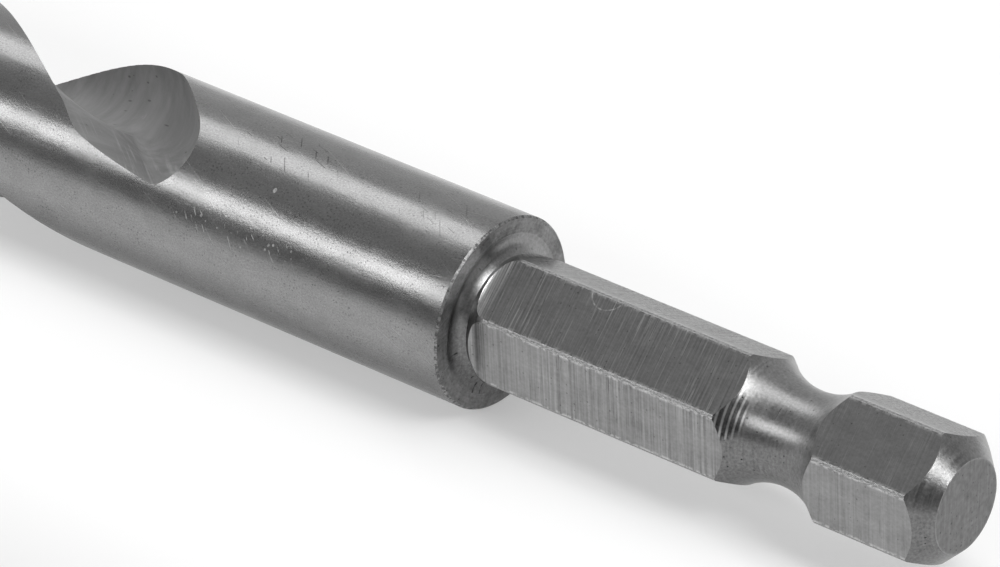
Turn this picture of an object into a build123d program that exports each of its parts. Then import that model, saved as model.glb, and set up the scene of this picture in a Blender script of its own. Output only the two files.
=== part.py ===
from build123d import *
from math import atan2, cos, degrees, radians, sin, sqrt, tan
import os

# Wood drill bit in one piece of steel: a hex shank with a ball groove, a plain round neck, and a
# body with two right-hand flutes that end in a brad point. It lies along X with the end of the
# shank at +X, and its origin is on the surface it lies on, under the middle of its length.
# Sizes are in millimetres and degrees.

# Overall
overall_length = 133.0
bit_diameter = 10.0
rim_chamfer = 0.1

# Shank, measured from the shoulder where the body begins
shank_length = 28.1
bar_diameter = 7.22
end_face_diameter = 4.8

# Hex flats, milled one by one with a cutter whose corner leaves a small ramp before the shoulder
hex_across_flats = 6.35
hex_sides = 6
hex_roll = 4.5
mill_from_shoulder = 0.4
mill_corner_radius = 0.6

# Relief turned beside the shoulder, with a round root and a slope back up to the bar
relief_diameter = 6.3
relief_root_diameter = 8.3
relief_root_radius = 1.0
relief_width = 0.36
relief_slope = 31.0

# Ball groove
groove_from_end = 9.55
groove_radius = 4.3
groove_floor_diameter = 4.9

# Flutes, each cut by a grinding wheel set askew that runs out at its stop
flute_lead = 54.75
flute_roll = 28.0
wheel_stop = 25.63
wheel_radius = 8.8
wheel_skew = 32.5
wheel_shift = -1.24
corner_offset = 0.36
face_slope = 30.7
face_length = 4.25
edge_slope = 3.4
floor_slope = 15.2
floor_corner_radius = 0.5
heel_radius = 2.94
heel_lean = 10.1
profile_height = 7.5
run_out_turn = 75.0
sweep_radius = 3.0

# Brad point, measured back from the tip of the spike
spur_setback = 2.0
valley_depth = 1.3
valley_half_width = 1.9
spur_land = 0.1
lip_arc_radius = 3.2
lip_turn = 13.0
relief_angle = 12.0
spike_base_width = 2.8
spike_tip_width = 0.12
spike_root_depth = 0.7
grind_split = 70.0

# Length by which cuts run past the metal
overrun = 3.0

bit_radius = bit_diameter / 2
bar_radius = bar_diameter / 2
relief_radius = relief_diameter / 2
tip_x = -overall_length / 2
shank_end_x = overall_length / 2
shoulder_x = shank_end_x - shank_length
stop_x = shoulder_x - wheel_stop
valley_setback = spur_setback + valley_depth
bit_axis = Axis((0, 0, bit_radius), (1, 0, 0))
shoulder_plane = Plane(origin=(shoulder_x, 0, bit_radius), x_dir=(1, 0, 0), z_dir=(0, -1, 0))


def towards_tip(x, angle):
    """Plane across the bit at x that faces the tip, its own x pointing out at an angle from +Z."""
    outward = (0, -sin(radians(angle)), cos(radians(angle)))
    return Plane(origin=(x, 0, bit_radius), x_dir=outward, z_dir=(-1, 0, 0))


# Corners and arc centre of the wheel's profile, from the corner at the flute's floor: x runs across
# the wheel to its front side, and y out from the bit's axis.
skew = radians(wheel_skew)
face = radians(face_slope)
face_x = face_length * sin(face)
face_y = face_length * cos(face)
edge_x = face_x + (profile_height - face_y) * tan(radians(edge_slope))
heel_x = -heel_radius * sin(radians(floor_slope))
heel_y = heel_radius * cos(radians(floor_slope))
wall_x = heel_x - heel_radius * cos(radians(heel_lean))
wall_y = heel_y - heel_radius * sin(radians(heel_lean))
wall_top = wall_x - (profile_height - wall_y) * tan(radians(heel_lean))


def cutting_edge_angle(x):
    """Angle from +Z at which the front edge of the first flute crosses the bit at x."""
    out = corner_offset + face_y
    across = (wheel_shift + face_x) * cos(skew)
    across_rise = tan(radians(edge_slope)) * cos(skew)
    slant = 1 + across_rise**2
    half = out + across * across_rise
    rise = (sqrt(half**2 - slant * (out**2 + across**2 - bit_radius**2)) - half) / slant
    turn = 360 / flute_lead
    at_wheel = degrees(atan2(across + across_rise * rise, out + rise))
    back_to_stop = turn * tan(skew) * (across + across_rise * rise)
    return flute_roll + at_wheel + back_to_stop + turn * (x - stop_x)


# Flute cutter: the wheel's profile carried along the screw, then turned about the wheel's own
# axis where it stops. Here Z points from the stop to the tip and X out through the wheel.
across_wheel = Vector(0, -cos(skew), sin(skew))
wheel_feed = Vector(0, -sin(skew), -cos(skew))
floor_corner = Vector(corner_offset, 0, 0) + across_wheel * wheel_shift
wheel_axis = Axis(floor_corner + Vector(wheel_radius, 0, 0), across_wheel)

with BuildPart() as flute_cutter:
    with BuildSketch(Plane(floor_corner, x_dir=across_wheel, z_dir=-wheel_feed)) as wheel_profile:
        with BuildLine():
            CenterArc((heel_x, heel_y), heel_radius, 180 + heel_lean, 90 + floor_slope - heel_lean)
            Polyline(
                (0, 0),
                (face_x, face_y),
                (edge_x, profile_height),
                (wall_top, profile_height),
                (wall_x, wall_y),
            )
        make_face()
        corner = wheel_profile.vertices().sort_by_distance((0, 0, 0))[0]
        fillet(corner, radius=floor_corner_radius)
    with BuildLine():
        Helix(pitch=flute_lead, height=stop_x - tip_x + overrun, radius=sweep_radius)
    sweep(is_frenet=True)
    revolve(wheel_profile.sketch, axis=wheel_axis, revolution_arc=run_out_turn)

# Point grind for one half of the point: all that lies ahead of the lip, its spur and the relief
# behind them. Here Z points to the tip and X out along the lip, which runs ahead of the axis.
lip_ahead = bit_radius * sin(radians(lip_turn))
lip_outer_end = bit_radius * cos(radians(lip_turn))
relief = radians(relief_angle)
split_normal = radians(90 - grind_split)
grind_reach = bit_radius + overrun

with BuildPart() as point_grind:
    with BuildSketch(Plane.XZ.offset(-lip_ahead)):
        with BuildLine():
            valley_end = (valley_half_width, -valley_setback)
            spur_tip = (lip_outer_end - spur_land, -spur_setback)
            RadiusArc(valley_end, spur_tip, lip_arc_radius)
            Polyline(
                spur_tip,
                (grind_reach, -spur_setback),
                (grind_reach, overrun),
                (-grind_reach, overrun),
                (-grind_reach, -valley_setback),
                valley_end,
            )
        make_face()
    extrude(amount=grind_reach, dir=(0, -cos(relief), -sin(relief)), both=True)
    split(bisect_by=Plane(origin=(0, 0, 0), z_dir=(cos(split_normal), -sin(split_normal), 0)))

# Mill for one flat of the hex, with the plane's X pointing out through the flat
mill_depth = bar_radius + overrun - hex_across_flats / 2

with BuildPart() as flat_mill:
    with BuildSketch(Plane.XZ):
        with Locations((hex_across_flats / 2, 0)):
            Rectangle(mill_depth, shank_length, align=(Align.MIN, Align.MAX))
        inner_corner = vertices().sort_by_distance((hex_across_flats / 2, 0, 0))[0]
        fillet(inner_corner, radius=mill_corner_radius)
    extrude(amount=bar_radius, both=True)

with BuildPart() as drill_bit:
    # Shank: turned from round bar with its relief and the cone at its end
    slope_length = (bar_radius - relief_radius) / tan(radians(relief_slope))
    with BuildSketch(shoulder_plane):
        with BuildLine():
            Polyline(
                (relief_width, 0),
                (relief_width, relief_radius),
                (relief_width + slope_length, bar_radius),
                (shank_length - bar_radius + end_face_diameter / 2, bar_radius),
                (shank_length, end_face_diameter / 2),
                (shank_length, 0),
                close=True,
            )
        make_face()
    revolve(axis=bit_axis)

    # Flats milled on the bar, which leave its corners round
    for side in range(hex_sides):
        flat_angle = hex_roll + (side + 0.5) * 360 / hex_sides
        with Locations(towards_tip(shoulder_x + mill_from_shoulder, flat_angle)):
            add(flat_mill.part, mode=Mode.SUBTRACT)

    # Ball groove
    groove_x = shank_length - groove_from_end
    with BuildSketch(shoulder_plane):
        with Locations((groove_x, groove_floor_diameter / 2 + groove_radius)):
            Circle(groove_radius)
    revolve(axis=bit_axis, mode=Mode.SUBTRACT)

    # Body and neck, with the shoulder and the round root of the relief
    with BuildSketch(shoulder_plane):
        with BuildLine():
            root_start = (0, relief_root_diameter / 2)
            root_end = (relief_width, relief_radius)
            RadiusArc(root_start, root_end, -relief_root_radius)
            Polyline(
                root_end,
                (relief_width, 0),
                (tip_x - shoulder_x, 0),
                (tip_x - shoulder_x, bit_radius),
                (-rim_chamfer, bit_radius),
                (0, bit_radius - rim_chamfer),
                root_start,
            )
        make_face()
    revolve(axis=bit_axis)

    # Point: both halves ground, with the spike standing between them
    lip_angle = cutting_edge_angle(tip_x + spur_setback) + lip_turn
    with Locations(towards_tip(tip_x, lip_angle), towards_tip(tip_x, lip_angle + 180)):
        add(point_grind.part, mode=Mode.SUBTRACT)
    spike_root = valley_setback + spike_root_depth
    root_width = spike_tip_width + (spike_base_width - spike_tip_width) * spike_root / valley_setback
    with BuildSketch(towards_tip(tip_x + spike_root, lip_angle)):
        Rectangle(root_width, root_width)
    with BuildSketch(towards_tip(tip_x, lip_angle)):
        Rectangle(spike_tip_width, spike_tip_width)
    loft()

    # Flutes, half a turn apart
    with Locations(towards_tip(stop_x, flute_roll), towards_tip(stop_x, flute_roll + 180)):
        add(flute_cutter.part, mode=Mode.SUBTRACT)

drill_bit.part.label = "drill_bit"
os.makedirs("parts", exist_ok=True)
export_step(drill_bit.part, "parts/drill_bit.step")
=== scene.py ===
import math
import random
import bmesh
import bpy
from mathutils import Matrix, Vector


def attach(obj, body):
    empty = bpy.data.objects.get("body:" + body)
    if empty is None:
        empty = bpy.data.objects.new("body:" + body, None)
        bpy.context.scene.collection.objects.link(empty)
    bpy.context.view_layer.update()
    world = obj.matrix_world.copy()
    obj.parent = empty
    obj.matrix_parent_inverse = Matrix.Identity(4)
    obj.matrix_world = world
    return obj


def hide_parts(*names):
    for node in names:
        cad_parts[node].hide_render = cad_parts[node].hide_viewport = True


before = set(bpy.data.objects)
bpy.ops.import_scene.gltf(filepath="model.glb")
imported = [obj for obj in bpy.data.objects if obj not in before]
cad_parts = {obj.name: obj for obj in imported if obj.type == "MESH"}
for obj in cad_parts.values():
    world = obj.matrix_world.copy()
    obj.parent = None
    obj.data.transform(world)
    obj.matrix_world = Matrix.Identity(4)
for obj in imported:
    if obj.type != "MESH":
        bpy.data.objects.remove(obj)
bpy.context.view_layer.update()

# The drill bit is one piece of tool steel. Its sizes are those of the solid, in millimetres, and
# the finished mesh is brought to metres at the end. The two rolls are in degrees, and all other
# angles are in radians.
metres_per_mm = 0.001
axis_height = 5.0
tip_x = -66.5
end_x = 66.5
shoulder_x = 38.4
body_radius = 5.0
rim_chamfer = 0.1
rim_burr = 0.03
bar_radius = 3.61

# Relief beside the shoulder
relief_radius = 3.15
relief_root_radius = 4.15
relief_root_curve = 1.0
relief_width = 0.36
relief_slope = math.radians(31.0)
relief_blend = 1.4

# Shank
hex_across_flats = 6.35
hex_sides = 6
hex_roll = 4.5
flat_turn = math.radians(360 / hex_sides)
mill_start = 0.4
mill_corner_curve = 0.6
mill_length = 40.0
groove_x = 56.95
groove_curve = 4.3
groove_floor_radius = 2.45
groove_centre_radius = groove_floor_radius + groove_curve
groove_half_width = math.sqrt(groove_curve ** 2 - (groove_centre_radius - bar_radius) ** 2)
end_face_radius = 2.4

# Flutes and the grinding wheel that cuts them
flute_lead = 54.75
flute_roll = 28.0
wheel_stop_x = 12.77
wheel_radius = 8.8
wheel_skew = math.radians(32.5)
wheel_shift = -1.24
corner_offset = 0.36
face_slope = math.radians(30.7)
face_length = 4.25
edge_relief_curve = 1.0
floor_slope = math.radians(15.2)
floor_corner_curve = 0.5
heel_curve = 2.94
heel_lean = math.radians(10.1)
profile_height = 7.5
run_out_turn = math.radians(75.0)

# Brad point
spur_setback = 2.0
valley_depth = 1.3
valley_half_width = 1.9
spur_land = 0.1
lip_arc = 3.2
lip_turn = math.radians(13.0)
grind_relief = math.radians(12.0)
grind_split = math.radians(70.0)
grind_overlap = 0.02
spike_base_width = 2.8
spike_tip_width = 0.12
spike_root_depth = 0.7

# Length by which cuts run past the metal
overrun = 3.0

# Corners of a square, for the spike and the card
square = ((-1, -1), (1, -1), (1, 1), (-1, 1))

# The two kinds of node that turn up most: one carries a value from a first range to a second and
# holds it at the ends, and the other joins up to three values into a place
RANGE = "ShaderNodeMapRange"
XYZ = "ShaderNodeCombineXYZ"

# Ranges of an uneven tone that are spread out: most of it, or its core, which gives more contrast
MOST = (0.3, 0.7)
CORE = (0.35, 0.65)


def linear_colour(code):
    """An sRGB hex value as a linear colour."""
    parts = [int(code[i:i + 2], 16) / 255 for i in (1, 3, 5)]
    return [p / 12.92 if p <= 0.04045 else ((p + 0.055) / 1.055) ** 2.4 for p in parts] + [1.0]


def join(tree, value, socket):
    """Feeds an input from a value, an output, or a node, which stands for its first output."""
    if isinstance(value, bpy.types.Node):
        value = value.outputs[0]
    if isinstance(value, bpy.types.NodeSocket):
        tree.links.new(value, socket)
    else:
        socket.default_value = value


def node(tree, kind, *values, **settings):
    """Adds a node with its settings, and feeds its inputs in order, or by name from a dictionary.
    A kind in capitals is a step of arithmetic."""
    if kind.isupper():
        kind, settings = "ShaderNodeMath", {"operation": kind}
    made = tree.nodes.new(kind)
    for key, value in settings.items():
        setattr(made, key, value)
    links = values[0] if values and isinstance(values[0], dict) else dict(enumerate(values))
    for socket, value in links.items():
        join(tree, value, made.inputs[socket])
    return made


def chain(tree, operation, total, *others):
    """Joins several values by one operation, such as a sum or the greatest of them."""
    for other in others:
        total = node(tree, operation, total, other)
    return total


def weighed_sum(tree, *parts):
    """The sum of values, each times its weight."""
    return chain(tree, "ADD", *[node(tree, "MULTIPLY", value, weight) for value, weight in parts])


def distance(tree, x, y):
    """How far a place lies from the zero of its two directions."""
    place = node(tree, XYZ, x, y)
    return node(tree, "ShaderNodeVectorMath", place, operation="LENGTH").outputs["Value"]


def bit_places():
    """Where a point lies on the bit: Along its axis, Out from it, and to its Side and Height from
    it in millimetres, and the Turn from the top towards the camera in radians."""
    tree = bpy.data.node_groups.new("places_on_the_bit", "ShaderNodeTree")
    for name in ("Along", "Out", "Turn", "Side", "Height"):
        tree.interface.new_socket(name, in_out="OUTPUT", socket_type="NodeSocketFloat")
    place = node(tree, "ShaderNodeTexCoord").outputs["Object"]
    links = {0: place, "Scale": 1 / metres_per_mm}
    millimetres = node(tree, "ShaderNodeVectorMath", links, operation="SCALE")
    along, side, up = node(tree, "ShaderNodeSeparateXYZ", millimetres).outputs
    height = node(tree, "SUBTRACT", up, axis_height)
    out = distance(tree, side, height)
    turn = node(tree, "ARCTAN2", node(tree, "MULTIPLY", side, -1.0), height)
    links = {"Along": along, "Out": out, "Turn": turn, "Side": side, "Height": height}
    node(tree, "NodeGroupOutput", links)
    return tree


bit_frame = bit_places()


def grain(tree, places, scales, seed=0.0, detail=2.0, rough=0.6):
    """Uneven tone centred on a half, with a scale per millimetre for each of its two or three
    directions. The seed sets patterns in two directions apart."""
    drawn = [node(tree, "MULTIPLY", place, scale) for place, scale in zip(places, scales)]
    place = node(tree, XYZ, *(drawn + [seed])[:3])
    links = {"Vector": place, "Scale": 1.0, "Detail": detail, "Roughness": rough}
    return node(tree, "ShaderNodeTexNoise", links)


def pits(tree, places, spacing, size, share, seed):
    """Small round pits, 1 inside them; a share of the cells holds one."""
    least_size, soft_edge = 0.4, 0.5
    along, across = [node(tree, "MULTIPLY", place, 1 / spacing) for place in places]
    links = {"Vector": node(tree, XYZ, node(tree, "ADD", along, seed), across), "Scale": 1.0}
    cells = node(tree, "ShaderNodeTexVoronoi", links, voronoi_dimensions="2D").outputs
    chance = node(tree, "ShaderNodeSeparateColor", cells["Color"]).outputs
    reach = node(tree, "MULTIPLY", node(tree, "ADD", chance[1], least_size), size / spacing)
    away = node(tree, "DIVIDE", cells["Distance"], reach)
    inside = node(tree, RANGE, away, soft_edge, 1.0, 1.0, 0.0)
    return node(tree, "MULTIPLY", inside, node(tree, "LESS_THAN", chance[0], share))


def scratches(tree, places, lean, length, spacing, width, share, seed):
    """Thin straight scratches that lean from the first direction, 1 on them; a share of the cells
    holds one, and each stays in its own cell."""
    least_length, cell_share, soft_side, soft_end = 0.2, 0.4, 0.3, 0.7
    along, across = places
    far = weighed_sum(tree, (along, math.cos(lean) / length), (across, math.sin(lean) / length))
    far = node(tree, "ADD", far, seed)
    wide = weighed_sum(tree, (along, -math.sin(lean) / spacing), (across, math.cos(lean) / spacing))
    links = {"Vector": node(tree, XYZ, far, wide), "Scale": 1.0}
    cells = node(tree, "ShaderNodeTexVoronoi", links, voronoi_dimensions="2D").outputs
    middle = node(tree, "ShaderNodeSeparateXYZ", cells["Position"]).outputs
    chance = node(tree, "ShaderNodeSeparateColor", cells["Color"]).outputs
    off_line = node(tree, "ABSOLUTE", node(tree, "SUBTRACT", wide, middle[1]))
    off_middle = node(tree, "ABSOLUTE", node(tree, "SUBTRACT", far, middle[0]))
    reach = node(tree, "MULTIPLY", node(tree, "ADD", chance[1], least_length), cell_share)
    line = node(tree, RANGE, off_line, soft_side * width / spacing, width / spacing, 1.0, 0.0)
    end = node(tree, RANGE, node(tree, "DIVIDE", off_middle, reach), soft_end, 1.0, 1.0, 0.0)
    return chain(tree, "MULTIPLY", line, end, node(tree, "LESS_THAN", chance[0], share))


def patch(tree, places, middle, reach):
    """1 in an oval round a place, fading out to its edge."""
    fades_from = 0.75
    along, across = places
    far = node(tree, "DIVIDE", node(tree, "ADD", along, -middle[0]), reach[0])
    wide = node(tree, "DIVIDE", node(tree, "ADD", across, -middle[1]), reach[1])
    return node(tree, RANGE, distance(tree, far, wide), fades_from, 1.0, 1.0, 0.0)


def steel(name, rough=0.5):
    """A bare steel finish: its material, tree, shader and places on the bit. Its roughness is
    given here where it is even all over."""
    made = bpy.data.materials.new(name)
    made.use_nodes = True
    tree = made.node_tree
    shader = tree.nodes["Principled BSDF"]
    shader.inputs["Metallic"].default_value = 1.0
    shader.inputs["Roughness"].default_value = rough
    where = node(tree, "ShaderNodeGroup", node_tree=bit_frame).outputs
    return made, tree, shader, where


def lay_round_axis(tree, shader, strength):
    """Marks that run round the bit's axis stretch its highlights across them."""
    quarter_turn = 0.25
    shader.inputs["Anisotropic"].default_value = strength
    shader.inputs["Anisotropic Rotation"].default_value = quarter_turn
    round_axis = node(tree, "ShaderNodeTangent", direction_type="RADIAL", axis="X")
    join(tree, round_axis, shader.inputs["Tangent"])


def tone(tree, shader, code, *shares):
    """Base colour from a plain tone and the sum of its uneven shares."""
    links = {0: linear_colour(code)[:3], "Scale": chain(tree, "ADD", *shares)}
    shaded = node(tree, "ShaderNodeVectorMath", links, operation="SCALE")
    join(tree, shaded, shader.inputs["Base Color"])


def relief_marks(tree, shader, *marks):
    """Bumps from patterns, each with its height in millimetres."""
    links = {"Height": weighed_sum(tree, *marks), "Strength": 1.0, "Distance": metres_per_mm}
    join(tree, node(tree, "ShaderNodeBump", links), shader.inputs["Normal"])


def ground_body_steel():
    """Cylindrically ground tool steel, handled since: clear stretched highlights broken up by a
    fine grain, with a dark haze of small pits, bright rubs in front and dark nicks on top, and
    painted shade on the underside."""
    made, tree, shader, where = steel("ground_tool_steel")
    lay_round_axis(tree, shader, 0.3)
    along = where["Along"]
    skin = (along, node(tree, "MULTIPLY", where["Turn"], body_radius))
    # The grinding grain is a few hundredths of a millimetre, and is drawn at a tenth so as to show
    fine = grain(tree, skin, (9.0, 11.0), seed=1.0, detail=3.0)
    broad = grain(tree, skin, (0.3, 1.0), seed=2.0)
    cloudy = grain(tree, skin, (0.7, 0.9), seed=3.0, detail=4.0)
    # Rubs in front, in broken groups
    rubs = chain(
        tree, "MAXIMUM",
        scratches(tree, skin, lean=0.8, length=1.4, spacing=0.37, width=0.03, share=0.4, seed=11.0),
        scratches(tree, skin, lean=1.05, length=0.9, spacing=0.31, width=0.035, share=0.4,
                  seed=4.0),
        pits(tree, skin, spacing=0.4, size=0.07, share=0.4, seed=12.0),
    )
    broken = grain(tree, skin, (1.5, 2.0), seed=8.0, detail=4.0)
    broken = node(tree, RANGE, broken, 0.46, 0.54, 0.0, 1.0)
    rubbed = patch(tree, skin, middle=(25.2, 6.15), reach=(4.8, 1.1))
    rubs = chain(tree, "MULTIPLY", rubs, broken, rubbed)
    # Thin scratches all over, and one bright nick
    thin = node(
        tree, "MAXIMUM",
        scratches(tree, skin, lean=0.45, length=5.0, spacing=1.7, width=0.025, share=0.3, seed=5.0),
        scratches(tree, skin, lean=-0.2, length=3.0, spacing=1.1, width=0.025, share=0.3, seed=7.0),
    )
    thin = node(tree, "MULTIPLY", thin, 0.25)
    nick = patch(tree, skin, middle=(26.47, 3.34), reach=(0.12, 0.16))
    bright = chain(tree, "MAXIMUM", rubs, thin, nick)
    # Dark nicks on top, in two groups
    nicks = node(
        tree, "MAXIMUM",
        scratches(tree, skin, lean=0.9, length=1.7, spacing=0.6, width=0.035, share=0.5, seed=2.0),
        scratches(tree, skin, lean=0.3, length=1.1, spacing=0.8, width=0.03, share=0.3, seed=6.0),
    )
    by_rim = node(tree, "MULTIPLY", patch(tree, skin, middle=(35.3, 1.0), reach=(2.6, 1.6)), 0.6)
    in_middle = patch(tree, skin, middle=(25.8, 1.0), reach=(3.6, 1.6))
    nicks = node(tree, "MULTIPLY", nicks, node(tree, "MAXIMUM", by_rim, in_middle))
    # A haze of small pits, thickest in front
    haze = grain(tree, skin, (0.6, 0.8), seed=4.0)
    haze = node(tree, RANGE, haze, 0.45, 0.6, 0.1, 1.0)
    haze = node(tree, "MAXIMUM", haze, patch(tree, skin, middle=(29.0, 4.4), reach=(6.5, 1.7)))
    specks = pits(tree, skin, spacing=0.2, size=0.05, share=0.6, seed=3.0)
    specks = chain(tree, "MULTIPLY", specks, haze, 0.6)
    dark = node(tree, "MAXIMUM", nicks, specks)
    tone(
        tree, shader, "#8f8f8f",
        node(tree, RANGE, fine, *MOST, 0.82, 1.18),
        node(tree, RANGE, cloudy, *MOST, -0.07, 0.07),
        # Painted shade on the underside, darker towards the bottom
        node(tree, RANGE, where["Turn"], math.radians(95), math.radians(120), 0.0, -0.38),
        node(tree, RANGE, along, shoulder_x - 2.5, shoulder_x - rim_chamfer, 0.0, -0.08),
        node(tree, "MULTIPLY", bright, 0.6),
        node(tree, "MULTIPLY", dark, -0.6),
    )
    rough = node(tree, RANGE, broad, *MOST, 0.22, 0.3)
    rough = node(tree, "ADD", rough, node(tree, "MULTIPLY", bright, 0.25))
    join(tree, rough, shader.inputs["Roughness"])
    relief_marks(tree, shader, (fine, 0.004), (broad, 0.012), (cloudy, 0.008), (bright, -0.002))
    return made


def burred_rim_steel():
    """The turned corner of the shoulder: a bright thin edge, torn dark here and there."""
    made, tree, shader, where = steel("burred_tool_steel", 0.4)
    skin = (where["Along"], node(tree, "MULTIPLY", where["Turn"], body_radius))
    torn = grain(tree, skin, (5.0, 5.0), seed=4.0, detail=4.0)
    patchy = grain(tree, skin, (0.1, 0.35), seed=9.0, detail=1.0)
    deep = node(tree, "ADD", node(tree, "MULTIPLY", patchy, 0.3), 0.33)
    off_deep = node(tree, "SUBTRACT", torn, deep)
    tone(tree, shader, "#8f8f8f", node(tree, RANGE, off_deep, -0.04, 0.06, 0.4, 1.05))
    relief_marks(tree, shader, (torn, 0.03))
    return made


def turned_shoulder_steel():
    """Faced tool steel: a dark, mottled ring with fine marks round the axis, small pits mostly
    near its rim, and a few scratches."""
    made, tree, shader, where = steel("faced_tool_steel", 0.4)
    lay_round_axis(tree, shader, 0.85)
    ring_radius = 4.5
    out = where["Out"]
    face = (where["Side"], where["Height"])
    swept = (out, node(tree, "MULTIPLY", where["Turn"], ring_radius))
    rings = grain(tree, swept, (9.0, 0.35), seed=5.0, detail=3.0)
    mottled = grain(tree, face, (1.3, 1.3), seed=6.0, detail=4.0)
    fine = grain(tree, face, (6.0, 6.0), seed=7.0, detail=3.0)
    dots = pits(tree, face, spacing=0.3, size=0.05, share=0.35, seed=4.0)
    outer = node(tree, RANGE, out, body_radius - 0.55, body_radius - 0.15, 0.25, 1.0)
    cuts = scratches(tree, face, lean=0.5, length=1.6, spacing=0.5, width=0.03, share=0.35,
                     seed=2.0)
    tone(
        tree, shader, "#838383",
        node(tree, RANGE, mottled, *CORE, 0.7, 1.15),
        node(tree, RANGE, rings, *MOST, -0.12, 0.12),
        node(tree, RANGE, fine, *CORE, -0.14, 0.14),
        chain(tree, "MULTIPLY", dots, outer, -0.6),
        node(tree, "MULTIPLY", cuts, 0.3),
    )
    relief_marks(tree, shader, (rings, 0.004), (mottled, 0.05), (fine, 0.006))
    return made


def turned_steel():
    """Turned tool steel of the relief, the ball groove and the end cone: highlights split by fine
    marks that run round the axis, coarse where the tool went in, and painted shade low down."""
    made, tree, shader, where = steel("turned_tool_steel")
    lay_round_axis(tree, shader, 0.5)
    mean_radius = 3.0
    thread_pitch = 0.26
    along, turn = where["Along"], where["Turn"]
    skin = (along, node(tree, "MULTIPLY", turn, mean_radius))
    solid = (along, where["Side"], where["Height"])
    rings = grain(tree, (along, where["Out"], turn), (7.0, 7.0, 0.9), detail=4.0)
    speckle = grain(tree, solid, (6.5, 6.5, 6.5), detail=4.0, rough=0.65)
    groove_start = groove_x - groove_half_width
    tool_in = patch(tree, skin, middle=(groove_start + 0.2, 3.0), reach=(1.25, 1.5))
    threads = node(tree, "SINE", node(tree, "MULTIPLY", along, 2 * math.pi / thread_pitch))
    threads = node(tree, RANGE, threads, 0.0, 0.9, -0.5, 0.8)
    dots = pits(tree, skin, spacing=0.6, size=0.05, share=0.3, seed=9.0)
    tone(
        tree, shader, "#8c8c8c",
        node(tree, RANGE, speckle, *MOST, 0.78, 1.2),
        node(tree, RANGE, rings, *MOST, -0.1, 0.1),
        # Painted shade on the lower front side
        node(tree, RANGE, turn, math.radians(62), math.radians(84), 0.0, -0.3),
        node(tree, "MULTIPLY", threads, tool_in),
        node(tree, "MULTIPLY", dots, -0.5),
    )
    join(tree, node(tree, RANGE, rings, *MOST, 0.27, 0.4), shader.inputs["Roughness"])
    relief_marks(tree, shader, (rings, 0.005), (speckle, 0.007))
    return made


def rough_corner_steel():
    """The bar's skin left at the corners of the hex: grey and torn, with a painted highlight
    along each of its two edges.
    """
    made, tree, shader, where = steel("bar_skin_tool_steel", 0.42)
    turn = where["Turn"]
    skin = (where["Along"], node(tree, "MULTIPLY", turn, bar_radius))
    torn = grain(tree, skin, (7.0, 10.0), seed=9.0, detail=4.0)
    half_flat = flat_turn / 2
    skin_half_turn = half_flat - math.acos(hex_across_flats / 2 / bar_radius)
    off_corner = node(tree, "ADD", turn, half_flat - math.radians(hex_roll))
    off_corner = node(tree, "FLOORED_MODULO", off_corner, flat_turn)
    off_corner = node(tree, "ABSOLUTE", node(tree, "ADD", off_corner, -half_flat))
    tone(
        tree, shader, "#8f8f8f",
        node(tree, RANGE, torn, *CORE, 0.5, 1.25),
        # Painted highlight along the two edges where the skin meets the flats
        node(tree, RANGE, off_corner, skin_half_turn - 0.035, skin_half_turn, 0.0, 0.5),
    )
    relief_marks(tree, shader, (torn, 0.025))
    return made


def wheel_cut_steel():
    """Flutes cut from the solid by a coarse grinding wheel: a matt grey, softly mottled, with dark
    pits, and with brighter streaks round the wheel where it lifts out."""
    made, tree, shader, where = steel("wheel_cut_tool_steel", 0.8)
    # The wheel's own frame at its stop; the second flute is the first one turned half round
    roll = math.radians(flute_roll)
    cosine, sine = math.cos(wheel_skew), math.sin(wheel_skew)
    side, height = where["Side"], where["Height"]
    out = weighed_sum(tree, (side, -math.sin(roll)), (height, math.cos(roll)))
    aside = weighed_sum(tree, (side, math.cos(roll)), (height, math.sin(roll)))
    flute = node(tree, "SIGN", out)
    out, aside = node(tree, "MULTIPLY", out, flute), node(tree, "MULTIPLY", aside, flute)
    ahead = node(tree, "SUBTRACT", wheel_stop_x, where["Along"])
    from_hub = node(tree, "ADD", out, -corner_offset - wheel_radius)
    across = weighed_sum(tree, (aside, -cosine), (ahead, sine))
    feed = weighed_sum(tree, (aside, -sine), (ahead, -cosine))
    off_axis = distance(tree, from_hub, feed)
    streaks = grain(tree, (across, off_axis, feed), (3.0, 5.0, 0.2), detail=4.0, rough=0.65)
    mean_radius = 4.0
    skin = (where["Along"], node(tree, "MULTIPLY", where["Turn"], mean_radius))
    coarse = grain(tree, skin, (1.1, 1.1), seed=12.0, detail=5.0)
    dots = pits(tree, (side, height), spacing=0.6, size=0.06, share=0.3, seed=6.0)
    run_out = node(
        tree, "MULTIPLY",
        node(tree, RANGE, ahead, -1.5, 1.0, 1.0, 0.0),
        node(tree, RANGE, aside, -0.3, 0.9, 1.0, 0.0),
    )
    tone(
        tree, shader, "#9b9b9b",
        node(tree, RANGE, streaks, *MOST, 0.98, 1.02),
        node(tree, RANGE, coarse, *MOST, -0.15, 0.12),
        node(tree, "MULTIPLY", node(tree, RANGE, streaks, 0.55, 0.65, 0.0, 0.28), run_out),
        node(tree, "MULTIPLY", dots, -0.4),
    )
    lifted = node(tree, "MULTIPLY", streaks, run_out)
    relief_marks(tree, shader, (lifted, 0.004), (coarse, 0.03))
    return made


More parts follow.
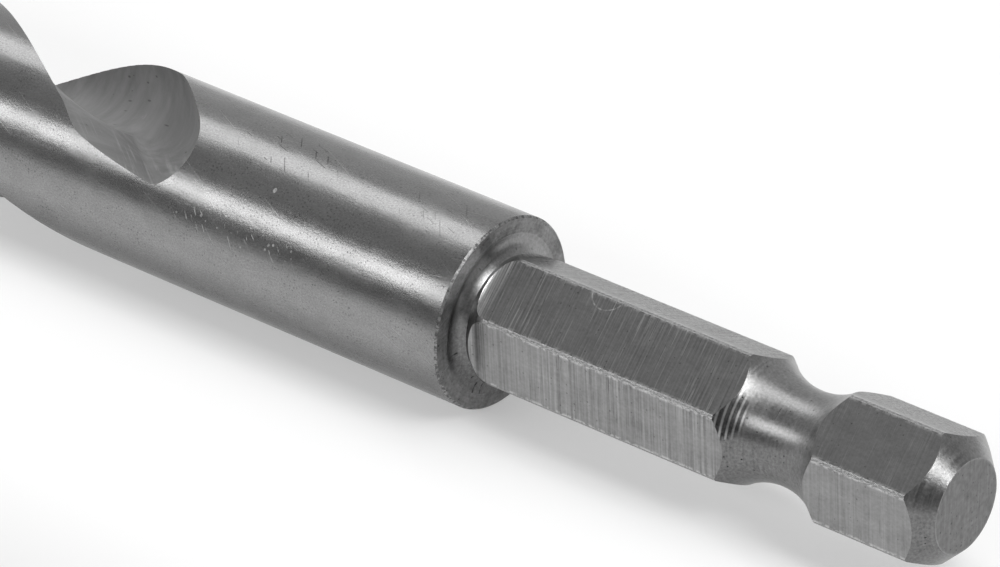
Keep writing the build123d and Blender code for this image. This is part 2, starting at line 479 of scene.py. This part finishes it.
def milled_steel():
    """Flats milled across the bar: fine crisp lines from side to side, now bright and now dark
    from flat to flat, with blotches and pits, a painted highlight along the edges broken up as if
    nicked, a painted highlight where the mill went in, and rougher on the flat on top."""
    made, tree, shader, where = steel("milled_tool_steel", 0.3)
    lay_round_axis(tree, shader, 0.5)
    along, out, turn = where["Along"], where["Out"], where["Turn"]
    # Flats are counted round from 0, the upper one that faces the camera
    roll = math.radians(hex_roll)
    flat = node(tree, "MULTIPLY", node(tree, "ADD", turn, -roll), 1 / flat_turn)
    flat = node(tree, "FLOOR", flat)
    front_flat = node(tree, "LESS_THAN", node(tree, "ABSOLUTE", flat), 0.5)
    odd = node(tree, "PINGPONG", flat, 1.0)
    middle = node(tree, "ADD", node(tree, "MULTIPLY", flat, flat_turn), roll + flat_turn / 2)
    off_middle = node(tree, "SINE", node(tree, "SUBTRACT", turn, middle))
    across = node(tree, "MULTIPLY", out, off_middle)
    # Milling lines lean a little on every second flat, and each flat has its own marks
    lean = node(tree, RANGE, odd, 0.0, 1.0, -0.14, 0.01)
    crossing = node(tree, "ADD", along, node(tree, "MULTIPLY", across, lean))
    flats_apart = 7.3
    other = node(tree, "ADD", across, node(tree, "MULTIPLY", flat, flats_apart))
    lines = grain(tree, (crossing, other), (9.0, 0.05), seed=10.0, detail=4.0)
    cuts = grain(tree, (crossing, other), (10.0, 0.3), seed=11.0, detail=3.0)
    cuts = node(tree, RANGE, cuts, 0.59, 0.64, 0.0, 1.0)
    patchy = grain(tree, (along, other), (0.3, 0.3), seed=12.0)
    patchy = node(tree, RANGE, patchy, 0.4, 0.6, 0.45, 1.0)
    past_groove = node(tree, RANGE, along, groove_x - 4.0, groove_x + 3.0, 1.0, 0.5)
    patchy = node(tree, "MULTIPLY", patchy, past_groove)
    blotches = grain(tree, (along, other), (0.6, 1.2), seed=13.0, detail=5.0)
    speckle = grain(tree, (along, other), (5.0, 6.0), seed=14.0, detail=4.0)
    dots = pits(tree, (along, other), spacing=0.45, size=0.045, share=0.25, seed=15.0)
    # Where the mill went in beside the shoulder, the front flat's lines are deep, and a painted
    # highlight brightens the flat there
    entry_lines_and_highlight = node(tree, RANGE, along, shoulder_x + 1.1, shoulder_x + 1.5, 1.0, 0.0)
    entry_lines_and_highlight = node(tree, "MULTIPLY", entry_lines_and_highlight, front_flat)
    deeper = node(tree, "ADD", node(tree, "MULTIPLY", entry_lines_and_highlight, 3.0), 1.0)
    line_depth = node(tree, RANGE, lines, *CORE, -0.3, 0.3)
    line_depth = chain(tree, "MULTIPLY", line_depth, patchy, deeper)
    # The small curved scratch near the front flat's upper edge
    curl_x, curl_across, curl_radius, curl_end = 45.35, -2.0, 0.97, -1.7
    from_ring = distance(
        tree, node(tree, "ADD", along, -curl_x), node(tree, "ADD", across, -curl_across)
    )
    off_ring = node(tree, "ABSOLUTE", node(tree, "ADD", from_ring, -curl_radius))
    curl = chain(
        tree, "MULTIPLY",
        node(tree, RANGE, off_ring, 0.02, 0.05, 1.2, 0.0),
        node(tree, "GREATER_THAN", across, curl_end),
        front_flat,
        node(tree, RANGE, speckle, 0.4, 0.55, 0.2, 1.0),
    )
    # Painted highlight along the flats' edges at the bar's skin, broken up by a grain like nicks
    edge_highlight = node(tree, RANGE, out, bar_radius - 0.07, bar_radius - 0.015, 0.0, 1.0)
    nicks = grain(tree, (along, out), (4.0, 6.0), seed=16.0, detail=4.0)
    nicks = node(tree, "MULTIPLY", edge_highlight, node(tree, RANGE, nicks, 0.45, 0.55, 0.0, 1.0))
    up_side = node(tree, RANGE, turn, -0.2, 0.05, 1.0, 0.0)
    tone(
        tree, shader, "#8b8b8b",
        line_depth,
        1.0,
        node(tree, RANGE, blotches, *MOST, -0.1, 0.1),
        chain(tree, "MULTIPLY", cuts, patchy, node(tree, RANGE, odd, 0.0, 1.0, 0.7, -0.35)),
        node(tree, "MULTIPLY", node(tree, RANGE, speckle, *CORE, -0.5, 0.15), up_side),
        node(tree, RANGE, speckle, *MOST, -0.1, 0.1),
        node(tree, "MULTIPLY", dots, -0.4),
        # Painted edge highlight, and the bright curved scratch
        node(tree, "MULTIPLY", node(tree, "MAXIMUM", nicks, curl), 0.9),
        # Painted highlight where the mill went in
        node(tree, "MULTIPLY", entry_lines_and_highlight, 0.55),
    )
    speckle_height = node(tree, RANGE, up_side, 0.0, 1.0, 0.002, 0.05)
    relief_marks(tree, shader, (lines, 0.002), (blotches, 0.01), (speckle, speckle_height))
    return made


def end_face_steel():
    """The faced end of the shank: even grey with faint straight marks from the saw, small pits
    and a painted highlight round its rim."""
    made, tree, shader, where = steel("end_faced_tool_steel", 0.5)
    face = (where["Side"], where["Height"])
    lines = grain(tree, face, (7.0, 0.5), seed=16.0, detail=3.0)
    mottled = grain(tree, face, (3.5, 3.0), seed=17.0, detail=5.0)
    dots = pits(tree, face, spacing=0.4, size=0.06, share=0.4, seed=5.0)
    tone(
        tree, shader, "#7c7c7c",
        node(tree, RANGE, lines, *MOST, 0.85, 1.15),
        node(tree, RANGE, mottled, *CORE, -0.14, 0.14),
        node(tree, "MULTIPLY", dots, -0.45),
        # Painted highlight round the rim
        node(tree, RANGE, where["Out"], end_face_radius - 0.1, end_face_radius, 0.0, 0.5),
    )
    relief_marks(tree, shader, (lines, 0.004), (mottled, 0.01))
    return made


def ground_point_steel():
    """Tool steel ground to the brad point: bright and even with very fine straight marks."""
    made, tree, shader, where = steel("ground_point_tool_steel", 0.3)
    # The marks are a few hundredths of a millimetre apart, and are drawn coarser so as to show
    lines = grain(tree, (where["Side"], where["Height"]), (12.0, 0.6), seed=18.0)
    tone(tree, shader, "#919191", node(tree, RANGE, lines, *MOST, 0.9, 1.1))
    relief_marks(tree, shader, (lines, 0.002))
    return made


# The blank's own finishes go by number, and those that the tools leave come after them
wheel_cut = wheel_cut_steel()
milled_flat = milled_steel()
ground_point = ground_point_steel()
BODY, RIM, SHOULDER, TURNED, CORNER, END = range(6)
finishes = [ground_body_steel(), burred_rim_steel(), turned_shoulder_steel(), turned_steel(),
            rough_corner_steel(), end_face_steel(), wheel_cut, milled_flat, ground_point]


def mesh_piece(name, points, faces, marks=None, finishes=()):
    """A mesh object from points and faces; marks gives each face's finish."""
    mesh = bpy.data.meshes.new(name)
    mesh.from_pydata(points, [], faces)
    for finish in finishes:
        mesh.materials.append(finish)
    if marks:
        mesh.polygons.foreach_set("material_index", marks)
    mesh.update()
    made = bpy.data.objects.new(name, mesh)
    bpy.context.scene.collection.objects.link(made)
    return made


def arc(centre, radius, start, end, steps):
    """Points on an arc, angles in radians."""
    turn = (end - start) / steps
    angles = [start + turn * i for i in range(steps + 1)]
    return [(centre[0] + radius * math.cos(a), centre[1] + radius * math.sin(a)) for a in angles]


def arc_between(start, end, radius, steps):
    """Points on an arc from one point to another, bulging to the right of the way there."""
    a, b = Vector(start), Vector(end)
    half = (b - a) / 2
    side = Vector((-half.y, half.x)).normalized() * math.sqrt(radius ** 2 - half.length_squared)
    centre = a + half + side
    first = math.atan2(a.y - centre.y, a.x - centre.x)
    last = math.atan2(b.y - centre.y, b.x - centre.x)
    return arc(centre, radius, first, last if last > first else last + 2 * math.pi, steps)


def blank_outline(body_bands=52, shoulder_bands=4, cone_bands=6, end_bands=4):
    """Half the outline of the turned blank from the tip to the end, each point with the finish of
    the band that leads to it: body, relief, bar, ball groove and cone."""
    body_end = shoulder_x - rim_chamfer
    rim_radius = body_radius - rim_chamfer
    rows = [(tip_x, 0.0, BODY)]
    for i in range(body_bands + 1):
        rows.append((tip_x + (body_end - tip_x) * i / body_bands, body_radius, BODY))
    rows.append((shoulder_x, rim_radius, RIM))
    for i in range(1, shoulder_bands + 1):
        radius = rim_radius + (relief_root_radius - rim_radius) * i / shoulder_bands
        rows.append((shoulder_x, radius, SHOULDER))
    # The relief's round root, and the slope back up to the bar, blended into it
    root_start = (shoulder_x, relief_root_radius)
    root_end = (shoulder_x + relief_width, relief_radius)
    root = arc_between(root_start, root_end, relief_root_curve, steps=8)
    rows += [(x, r, TURNED) for x, r in root[1:]]
    slope_end = root_end[0] + (bar_radius - relief_radius) / math.tan(relief_slope)
    blend_x = slope_end + relief_blend * math.tan(relief_slope / 2)
    up = math.pi / 2
    blend = arc((blend_x, bar_radius - relief_blend), relief_blend, up + relief_slope, up, steps=8)
    rows += [(x, r, TURNED) for x, r in blend]
    # The ball groove and the cone
    groove_centre = (groove_x, groove_centre_radius)
    lean = math.asin((groove_centre_radius - bar_radius) / groove_curve)
    groove = arc(groove_centre, groove_curve, math.pi + lean, 2 * math.pi - lean, steps=40)
    rows.append((*groove[0], CORNER))
    rows += [(x, r, TURNED) for x, r in groove[1:]]
    cone_length = bar_radius - end_face_radius
    rows.append((end_x - cone_length, bar_radius, CORNER))
    for i in range(1, cone_bands + 1):
        gone = cone_length * i / cone_bands
        rows.append((end_x - cone_length + gone, bar_radius - gone, TURNED))
    rows += [(end_x, end_face_radius * (1 - i / end_bands), END) for i in range(1, end_bands + 1)]
    return rows


def turned_blank(around=288):
    """The whole blank as it leaves the lathe, with small burrs raised on the shoulder's rim."""
    chance = random.Random(7)
    rows = blank_outline()
    points = []
    starts = []
    for x, r, finish in rows:
        starts.append(len(points))
        if r == 0:
            points.append((x, 0, axis_height))
            continue
        burr = rim_burr if finish == RIM else 0.0
        for k in range(around):
            turn = 2 * math.pi * k / around
            here = r - burr * chance.random() ** 3
            points.append((x, -here * math.sin(turn), axis_height + here * math.cos(turn)))
    faces = []
    marks = []
    bands = zip(rows, rows[1:], starts, starts[1:])
    for (_, r, _), (_, next_r, finish), start, next_start in bands:
        for k in range(around):
            n = (k + 1) % around
            if r == 0:
                faces.append((start, next_start + k, next_start + n))
            elif next_r == 0:
                faces.append((start + k, next_start, start + n))
            else:
                faces.append((start + k, next_start + k, next_start + n, start + n))
            marks.append(finish)
    return mesh_piece("blank", points, faces, marks, finishes)


def outward(piece):
    """Turns a closed mesh's faces to point outwards."""
    shell = bmesh.new()
    shell.from_mesh(piece.data)
    bmesh.ops.recalc_face_normals(shell, faces=shell.faces)
    if shell.calc_volume(signed=True) < 0:
        bmesh.ops.reverse_faces(shell, faces=shell.faces)
    shell.to_mesh(piece.data)
    shell.free()


def plain_mesh(piece):
    """Turns a piece's modifiers into its own mesh."""
    view = bpy.context.evaluated_depsgraph_get()
    result = bpy.data.meshes.new_from_object(piece.evaluated_get(view))
    piece.modifiers.clear()
    piece.data = result
    return piece


def towards_tip(x, degrees_up):
    """Place across the bit at x that faces the tip, its own X pointing out at an angle from +Z."""
    turn = math.radians(degrees_up)
    columns = (
        Vector((0, -math.sin(turn), math.cos(turn), 0)),
        Vector((0, math.cos(turn), math.sin(turn), 0)),
        Vector((-1, 0, 0, 0)),
        Vector((x, 0, axis_height, 1)),
    )
    return Matrix(columns).transposed()


def prism_faces(count, rings=2):
    """Faces of a closed bar whose points lie in rings of the same count."""
    last = (rings - 1) * count
    faces = [tuple(range(count)), tuple(range(last + count - 1, last - 1, -1))]
    for i in range(rings - 1):
        for k in range(count):
            n = (k + 1) % count
            faces.append((i * count + n, i * count + k, (i + 1) * count + k, (i + 1) * count + n))
    return faces


def wheel_profile(face_steps=8):
    """The grinding wheel's outline from the corner at the flute's floor: x across it, y out."""
    heel = Vector((-heel_curve * math.sin(floor_slope), heel_curve * math.cos(floor_slope)))
    along = Vector((math.sin(face_slope), math.cos(face_slope)))
    across = Vector((math.cos(face_slope), -math.sin(face_slope)))
    # The small round touches the face, and the heel's arc from inside
    offset = -floor_corner_curve * across - heel
    b = along.dot(offset)
    c = offset.length_squared - (heel_curve - floor_corner_curve) ** 2
    reach = -b - math.sqrt(b * b - c)
    small = along * reach - across * floor_corner_curve
    floor_end = (small - heel).angle_signed(Vector((1, 0))) % (2 * math.pi)
    face_start = 2 * math.pi - face_slope
    points = arc(heel, heel_curve, math.pi + heel_lean, floor_end, steps=30)
    points += arc(small, floor_corner_curve, floor_end, face_start, steps=6)[1:]
    for i in range(1, face_steps + 1):
        points.append(tuple(along * (reach + (face_length - reach) * i / face_steps)))
    relief = along * face_length - across * edge_relief_curve
    relief_end = math.pi / 2 - face_slope
    points += arc(relief, edge_relief_curve, -face_slope, relief_end, steps=14)[1:]
    foot = points[0]
    points.append((points[-1][0], profile_height))
    points.append((foot[0] - (profile_height - foot[1]) * math.tan(heel_lean), profile_height))
    return points


def screw_tree():
    """Bends a straight bar of the wheel's profile: along the screw ahead of the stop, and round
    the wheel's own axis behind it. The bar's Z is the way to the tip."""
    tree = bpy.data.node_groups.new("carry_wheel_along_screw", "GeometryNodeTree")
    tree.interface.new_socket("Geometry", in_out="INPUT", socket_type="NodeSocketGeometry")
    for name in ("Lead", "Wheel radius", "Wheel skew", "Wheel shift", "Corner offset"):
        tree.interface.new_socket(name, in_out="INPUT", socket_type="NodeSocketFloat")
    tree.interface.new_socket("Finish", in_out="INPUT", socket_type="NodeSocketMaterial")
    tree.interface.new_socket("Geometry", in_out="OUTPUT", socket_type="NodeSocketGeometry")
    given = node(tree, "NodeGroupInput").outputs
    place = node(tree, "GeometryNodeInputPosition")
    sideways, upwards, ahead_of_stop = node(tree, "ShaderNodeSeparateXYZ", place).outputs
    cosine = node(tree, "MULTIPLY", node(tree, "COSINE", given["Wheel skew"]), -1.0)
    sine = node(tree, "SINE", given["Wheel skew"])

    def at_stop(out, across):
        """Place at the stop, out from the bit's axis and across the wheel."""
        aside, forward = [node(tree, "MULTIPLY", part, across) for part in (cosine, sine)]
        return node(tree, XYZ, out, aside, forward)

    across = node(tree, "ADD", given["Wheel shift"], sideways)
    out = node(tree, "ADD", given["Corner offset"], upwards)
    hub_out = node(tree, "ADD", given["Corner offset"], given["Wheel radius"])
    behind = node(tree, "MULTIPLY", node(tree, "MINIMUM", ahead_of_stop, 0.0), -1.0)
    turned = node(tree, "ShaderNodeVectorRotate", {
        "Vector": at_stop(out, across),
        "Center": at_stop(hub_out, given["Wheel shift"]),
        "Axis": node(tree, XYZ, 0.0, cosine, sine),
        "Angle": node(tree, "DIVIDE", behind, given["Wheel radius"]),
    }, rotation_type="AXIS_ANGLE")
    ahead = node(tree, "MAXIMUM", ahead_of_stop, 0.0)
    screwed = node(tree, "ShaderNodeVectorRotate", {
        "Vector": turned,
        "Axis": (0, 0, 1),
        "Angle": node(tree, "DIVIDE", node(tree, "MULTIPLY", ahead, 2 * math.pi), given["Lead"]),
    }, rotation_type="AXIS_ANGLE")
    forward = node(tree, XYZ, 0.0, 0.0, ahead)
    moved = node(tree, "ShaderNodeVectorMath", screwed, forward, operation="ADD")
    links = {"Geometry": given["Geometry"], "Position": moved}
    bent = node(tree, "GeometryNodeSetPosition", links)
    real = node(tree, "GeometryNodeRealizeInstances", bent)
    links = {"Geometry": real, "Material": given["Finish"]}
    node(tree, "NodeGroupOutput", node(tree, "GeometryNodeSetMaterial", links))
    return tree


def flute_cutter(rings_along=110, rings_round=30):
    """All the steel that one flute's wheel takes away, in the frame of the wheel's stop."""
    outline = wheel_profile()
    reach = wheel_stop_x - tip_x + overrun
    run_out = run_out_turn * wheel_radius
    stations = [reach * (1 - i / rings_along) for i in range(rings_along)]
    stations += [-run_out * i / rings_round for i in range(rings_round + 1)]
    points = [(x, y, t) for t in stations for x, y in outline]
    bar = mesh_piece("wheel_bar", points, prism_faces(len(outline), len(stations)))
    tree = screw_tree()
    carried = bar.modifiers.new("screw", "NODES")
    carried.node_group = tree
    inputs = {
        "Lead": flute_lead,
        "Wheel radius": wheel_radius,
        "Wheel skew": wheel_skew,
        "Wheel shift": wheel_shift,
        "Corner offset": corner_offset,
        "Finish": wheel_cut,
    }
    for socket in tree.interface.items_tree:
        if socket.in_out == "INPUT" and socket.name in inputs:
            carried[socket.identifier] = inputs[socket.name]
    return plain_mesh(bar)


def flat_mill():
    """What milling a flat of the hex takes off: Z points to the tip and X out through the flat."""
    low = hex_across_flats / 2
    clear = bar_radius + overrun
    corner_centre = (low + mill_corner_curve, -mill_corner_curve)
    outline = arc(corner_centre, mill_corner_curve, math.pi, math.pi / 2, steps=8)
    outline += [(clear, 0.0), (clear, -mill_length), (low, -mill_length)]
    points = [(x, y, z) for y in (-bar_radius, bar_radius) for x, z in outline]
    return mesh_piece("flat_mill", points, prism_faces(len(outline)), finishes=[milled_flat])


def cutting_edge_angle(x, halvings=30):
    """Angle from +Z at which the front edge of the first flute crosses the bit at x, in degrees.
    The edge is where the wheel's relief arc comes out through the body, found by halving."""
    relief_x = face_length * math.sin(face_slope) - edge_relief_curve * math.cos(face_slope)
    relief_y = face_length * math.cos(face_slope) + edge_relief_curve * math.sin(face_slope)
    below, above = -face_slope, math.pi / 2 - face_slope
    for _ in range(halvings):
        middle = (below + above) / 2
        across = wheel_shift + relief_x + edge_relief_curve * math.cos(middle)
        out = corner_offset + relief_y + edge_relief_curve * math.sin(middle)
        if math.hypot(out, across * math.cos(wheel_skew)) < body_radius:
            below = middle
        else:
            above = middle
    turn = 360 / flute_lead
    at_wheel = math.degrees(math.atan2(across * math.cos(wheel_skew), out))
    return flute_roll + at_wheel + turn * math.sin(wheel_skew) * across + turn * (x - wheel_stop_x)


def point_grind():
    """What one side of the point's grind takes away, a hair past the middle so that nothing is
    left between the two. Z points to the tip and X out along the lip."""
    ahead = body_radius * math.sin(lip_turn)
    reach = body_radius + overrun
    low = -(spur_setback + valley_depth)
    spur = (body_radius * math.cos(lip_turn) - spur_land, -spur_setback)
    outline = arc_between((valley_half_width, low), spur, lip_arc, steps=20)
    outline += [(reach, -spur_setback), (reach, overrun), (-reach, overrun), (-reach, low)]
    push = Vector((0, -math.cos(grind_relief), -math.sin(grind_relief))) * reach
    points = [Vector((x, ahead, z)) + push * way for way in (-1, 1) for x, z in outline]
    grind = mesh_piece("point_grind", points, prism_faces(len(outline)), finishes=[ground_point])
    # Half of it is cut away on the far side of the line between the two grinds
    half_turn = math.pi / 2 - grind_split
    split_way = Vector((math.cos(half_turn), -math.sin(half_turn), 0))
    shell = bmesh.new()
    shell.from_mesh(grind.data)
    everything = shell.verts[:] + shell.edges[:] + shell.faces[:]
    cut = bmesh.ops.bisect_plane(shell, geom=everything, plane_co=-grind_overlap * split_way,
                                 plane_no=split_way, clear_inner=True)
    edges = [e for e in cut["geom_cut"] if isinstance(e, bmesh.types.BMEdge)]
    bmesh.ops.holes_fill(shell, edges=edges)
    bmesh.ops.recalc_face_normals(shell, faces=shell.faces)
    shell.to_mesh(grind.data)
    shell.free()
    return grind


def spike():
    """The square spike between the two halves of the point."""
    root = spur_setback + valley_depth + spike_root_depth
    slope = (spike_base_width - spike_tip_width) / (spur_setback + valley_depth)
    points = []
    for width, z in ((spike_tip_width + slope * root, -root), (spike_tip_width, 0.0)):
        half = width / 2
        points += [(x * half, y * half, z) for x, y in square]
    return mesh_piece("spike", points, prism_faces(4), finishes=[ground_point])


def work(piece, tool, spots, operation="DIFFERENCE"):
    """Cuts the tool out of the piece, or joins it on, at each spot; new faces keep its finish."""
    for spot in spots:
        here = bpy.data.objects.new(tool.name, tool.data.copy())
        bpy.context.scene.collection.objects.link(here)
        here.data.transform(spot)
        outward(here)
        change = piece.modifiers.new("work", "BOOLEAN")
        change.operation = operation
        change.solver = "EXACT"
        change.material_mode = "TRANSFER"
        change.object = here
        plain_mesh(piece)
        bpy.data.objects.remove(here)
    bpy.data.objects.remove(tool)


bit = turned_blank()
outward(bit)
flat_angles = [hex_roll + (side + 0.5) * 360 / hex_sides for side in range(hex_sides)]
work(bit, flat_mill(), [towards_tip(shoulder_x + mill_start, angle) for angle in flat_angles])
lip_angle = cutting_edge_angle(tip_x + spur_setback) + math.degrees(lip_turn)
work(bit, point_grind(), [towards_tip(tip_x, lip_angle), towards_tip(tip_x, lip_angle + 180)])
work(bit, spike(), [towards_tip(tip_x, lip_angle)], "UNION")
work(bit, flute_cutter(), [towards_tip(wheel_stop_x, flute_roll + turn) for turn in (0, 180)])

crease = math.radians(25.0)
bit.name = "drill_bit_steel"
bit.data.transform(Matrix.Scale(metres_per_mm, 4))
bit.data.shade_smooth()
bit.data.set_sharp_from_angle(angle=crease)
bpy.context.view_layer.update()
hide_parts("drill_bit")
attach(bit, "root")

# Stage, in metres: one matt card, white under the bit and behind it. It shades to grey from a
# little way in front of the bit and to its right, and the low part of the steel reflects that.
card_half = 3.0
white_front, grey_front = -0.018, -0.060
white_right, grey_right = 0.080, 0.125

# Share of the card's tone that is shown plainly to the eye and to what mirrors it, which keeps
# the shadow light, and its strength
plain_share = 0.35
plain_strength = 1.1


def matt_card():
    """Matt white card that shades to grey, with next to no gloss of its own."""
    made = bpy.data.materials.new("matt_white_card")
    made.use_nodes = True
    tree = made.node_tree
    shader = tree.nodes["Principled BSDF"]
    shader.inputs["Roughness"].default_value = 0.9
    shader.inputs["Specular IOR Level"].default_value = 0.2
    place = node(tree, "ShaderNodeTexCoord").outputs["Object"]
    place = node(tree, "ShaderNodeSeparateXYZ", place).outputs
    from_front = node(tree, RANGE, place["Y"], grey_front, white_front, 0.0, 1.0)
    from_right = node(tree, RANGE, place["X"], white_right, grey_right, 1.0, 0.0)
    white = node(tree, "MINIMUM", from_front, from_right)
    links = {0: white, "A": linear_colour("#8a8a8a"), "B": linear_colour("#f4f4f4")}
    colour = node(tree, "ShaderNodeMix", links, data_type="RGBA").outputs["Result"]
    join(tree, colour, shader.inputs["Base Color"])
    seen = node(tree, "ShaderNodeLightPath").outputs
    rays = [seen[name] for name in ("Is Camera Ray", "Is Glossy Ray", "Is Transmission Ray")]
    looked_at = chain(tree, "MAXIMUM", *rays)
    plain = node(tree, "ShaderNodeEmission", {"Color": colour, "Strength": plain_strength})
    shown = node(tree, "MULTIPLY", looked_at, plain_share)
    mixed = node(tree, "ShaderNodeMixShader", shown, shader, plain)
    join(tree, mixed, tree.nodes["Material Output"].inputs["Surface"])
    return made


corners = [(x * card_half, y * card_half, 0) for x, y in square]
floor = mesh_piece("floor", corners, [(0, 1, 2, 3)], finishes=[matt_card()])

# Room light, dim in front of the bit and to its right, and brighter behind it
dim_front = 0.13
bright_back = 0.72
dim_right = 0.35
dims_from, dims_to = 0.2, 0.75
world = bpy.context.scene.world or bpy.data.worlds.new("studio")
bpy.context.scene.world = world
world.use_nodes = True
room = world.node_tree
room.nodes.clear()
way = node(room, "ShaderNodeTexCoord").outputs["Generated"]
way = node(room, "ShaderNodeSeparateXYZ", way).outputs
front_to_back = node(room, RANGE, way["Y"], -1.0, 1.0, dim_front, bright_back)
to_right = node(room, RANGE, way["X"], dims_from, dims_to, 1.0, dim_right)
level = node(room, "MULTIPLY", front_to_back, to_right)
sky = node(room, "ShaderNodeBackground", {"Color": (1, 1, 1, 1), "Strength": level})
node(room, "ShaderNodeOutputWorld", sky)


def soft_box(name, middle, turned_about_z, length, width, radiance):
    """A long soft box that faces the bit, its length along X but for a small turn."""
    lamp = bpy.data.lights.new(name, "AREA")
    lamp.shape = "RECTANGLE"
    lamp.size = length
    lamp.size_y = width
    lamp.energy = radiance * math.pi * length * width
    made = bpy.data.objects.new(name, lamp)
    bpy.context.scene.collection.objects.link(made)
    long_way = Vector((math.cos(turned_about_z), math.sin(turned_about_z), 0))
    back = Vector((0, middle[1], middle[2])).normalized()
    back = (back - long_way * back.dot(long_way)).normalized()
    axes = Matrix((long_way, back.cross(long_way), back)).transposed().to_4x4()
    made.matrix_world = Matrix.Translation(middle) @ axes
    made.visible_camera = False


soft_box("top_soft_box", middle=(-0.65, 0.231, 0.6), turned_about_z=math.radians(-14.4),
         length=1.95, width=0.29, radiance=1.7)
soft_box("right_soft_box", middle=(0.64, -0.065, 0.6), turned_about_z=0.0,
         length=0.62, width=0.34, radiance=7.5)
soft_box("front_soft_box", middle=(-0.7, -0.515, 0.310), turned_about_z=0.0,
         length=1.9, width=0.185, radiance=3.1)

# The photograph's camera, fitted to the bit's edges
camera_place = Vector((0.22473, -0.22308, 0.17199))
camera_right = Vector((0.7673, 0.64129, 0))
camera_down = Vector((0.31706, -0.37936, -0.86923))
camera_ahead = Vector((-0.55743, 0.66696, -0.49441))
camera_data = bpy.data.cameras.new("camera")
camera_data.lens = 247.65
camera_data.sensor_width = 36.0
camera_data.clip_start = 0.01
camera_data.clip_end = 20
camera = bpy.data.objects.new("camera", camera_data)
bpy.context.scene.collection.objects.link(camera)
axes = Matrix((camera_right, -camera_down, -camera_ahead)).transposed().to_4x4()
camera.matrix_world = Matrix.Translation(camera_place) @ axes
bpy.context.scene.camera = camera
bpy.context.scene.view_settings.view_transform = "Standard"
